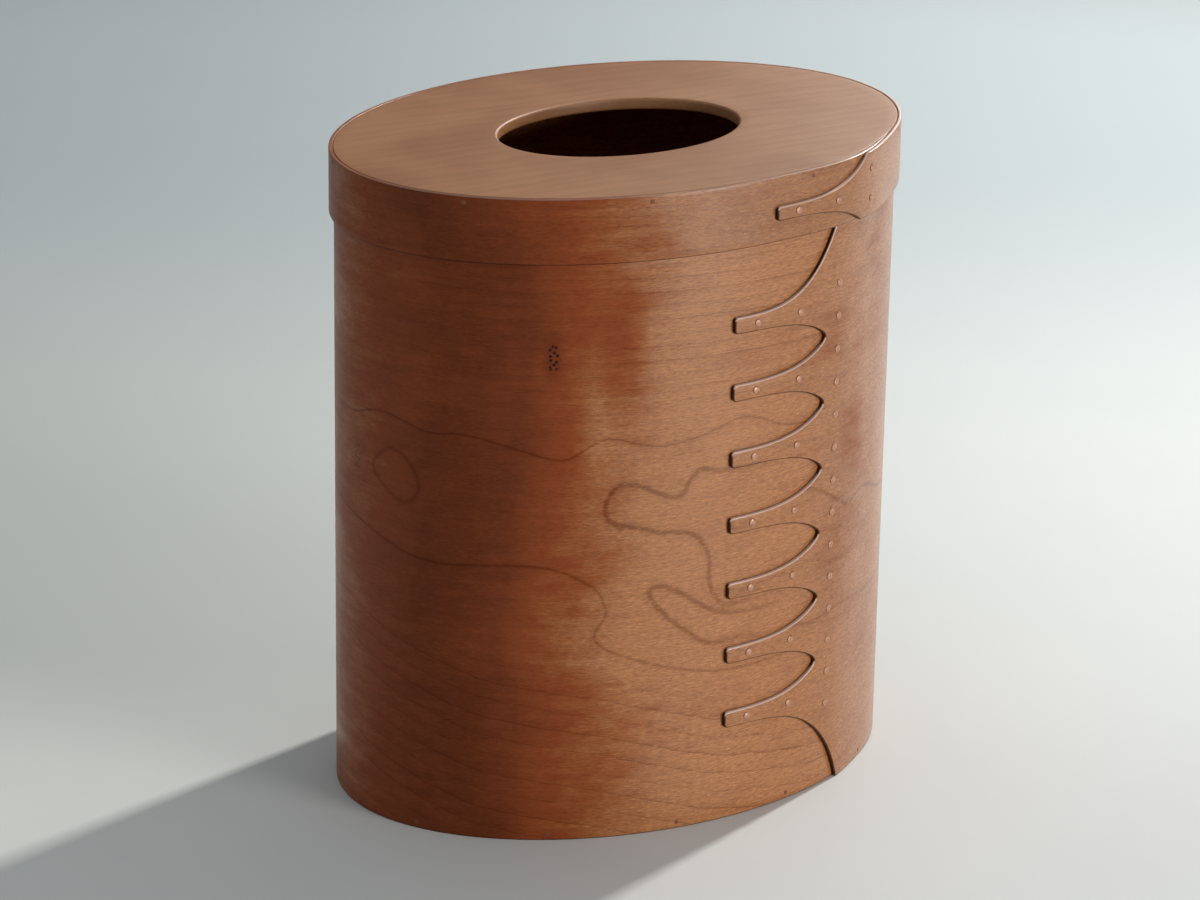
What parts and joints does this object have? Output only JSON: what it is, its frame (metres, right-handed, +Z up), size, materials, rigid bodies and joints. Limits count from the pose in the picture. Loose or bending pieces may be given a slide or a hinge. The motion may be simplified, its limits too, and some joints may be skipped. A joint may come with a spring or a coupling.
{
  "type": "oval bentwood waste bin",
  "caption": "Oval bentwood waste bin with a swallowtail finger lap, copper tacks and a lift-off lid that has an oval opening.",
  "frame": {"origin": "centre of the oval on the floor plane, in the middle of the bottom board's underside", "axes": "+Z up, X along the oval's long axis, Y along its short axis; the laps are on the front, which faces -Y"},
  "size_m": [0.2948, 0.2113, 0.3263],
  "materials": {
    "band_wood": "satin oiled cherry",
    "lid_band_wood": "satin oiled cherry",
    "lid_board_wood": "satin oiled cherry",
    "board_wood": "oiled cherry",
    "peg_wood": "end grain, oiled",
    "copper": "softly tarnished copper"
  },
  "bodies": {
    "bin": {"body_band": "band_wood", "bottom_board": "board_wood", "finger_tip_tacks": "copper", "finger_root_tacks": "copper", "seam_tacks": "copper", "bottom_pegs": "peg_wood"},
    "lid": {"lid_band": "lid_band_wood", "lid_board": "lid_board_wood", "lid_tacks": "copper", "lid_pegs": "peg_wood"}
  },
  "joints": [
    {"name": "lid_lift_off", "type": "slide", "parent": "bin", "child": "lid", "axis": [0, 0, 1], "range_m": [0, 0.08]}
  ]
}
